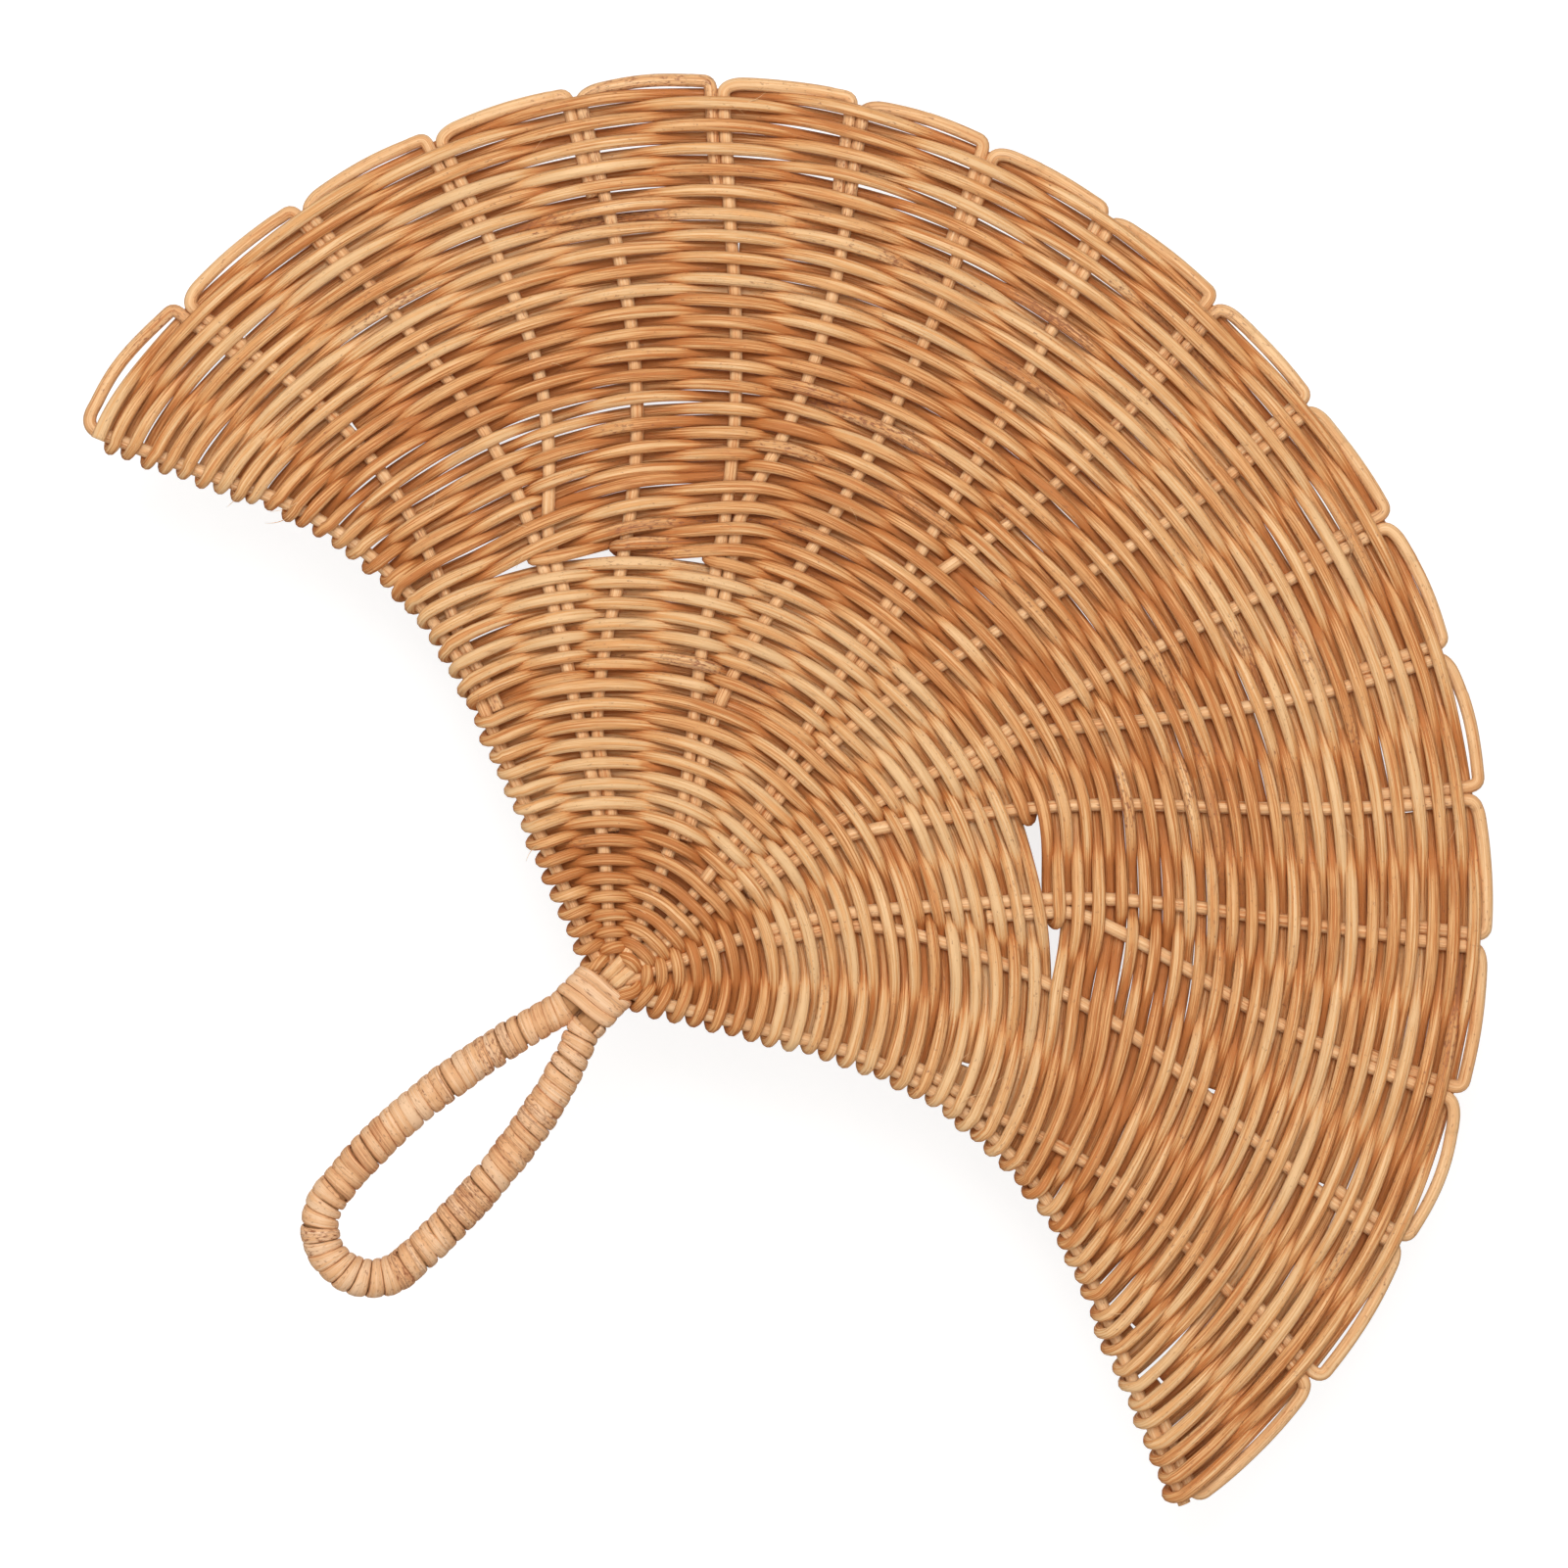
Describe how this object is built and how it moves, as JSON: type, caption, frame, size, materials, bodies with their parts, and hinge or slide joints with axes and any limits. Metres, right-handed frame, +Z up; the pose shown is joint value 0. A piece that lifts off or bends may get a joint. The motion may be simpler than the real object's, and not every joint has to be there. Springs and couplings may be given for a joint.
{
  "type": "woven rattan wall fan",
  "caption": "Half-round woven wall fan of round rattan rods, with a scalloped rim and a cane-bound loop handle.",
  "frame": {"origin": "the wall nail on which the fan hangs, in the weave's middle plane", "axes": "+Z up along the upright fan, +X to the right of someone facing it, +Y into the wall"},
  "size_m": [0.4048, 0.0106, 0.3408],
  "materials": {
    "stake": "satin",
    "weaver_light": "satin",
    "weaver_dark": "satin",
    "cane": "satin",
    "core": "matt"
  },
  "bodies": {
    "root": {"stake_01": "stake", "stake_02": "stake", "stake_03": "stake", "stake_04": "stake", "stake_05": "stake", "stake_06": "stake", "stake_07": "stake", "stake_08": "stake", "stake_09": "stake", "stake_10": "stake", "stake_11": "stake", "stake_12": "stake", "stake_13": "stake", "stake_14": "stake", "stake_15": "stake", "stake_16": "stake", "stake_17": "stake", "stake_18": "stake", "stake_19": "stake", "weaver_01": "weaver_light", "weaver_02": "weaver_light", "weaver_03": "weaver_light", "weaver_04": "weaver_light", "weaver_05": "weaver_light", "weaver_06": "weaver_light", "weaver_07": "weaver_dark", "weaver_08": "weaver_light", "weaver_09": "weaver_dark", "weaver_10": "weaver_light", "weaver_11": "weaver_dark", "weaver_12": "weaver_light", "weaver_13": "weaver_dark", "weaver_14": "weaver_light", "weaver_15": "weaver_dark", "weaver_16": "weaver_light", "weaver_17": "weaver_dark", "weaver_18": "weaver_light", "handle_core": "core", "left_leg_cane": "cane", "bend_cane": "cane", "right_leg_cane": "cane", "neck_whipping": "cane"}
  },
  "joints": []
}
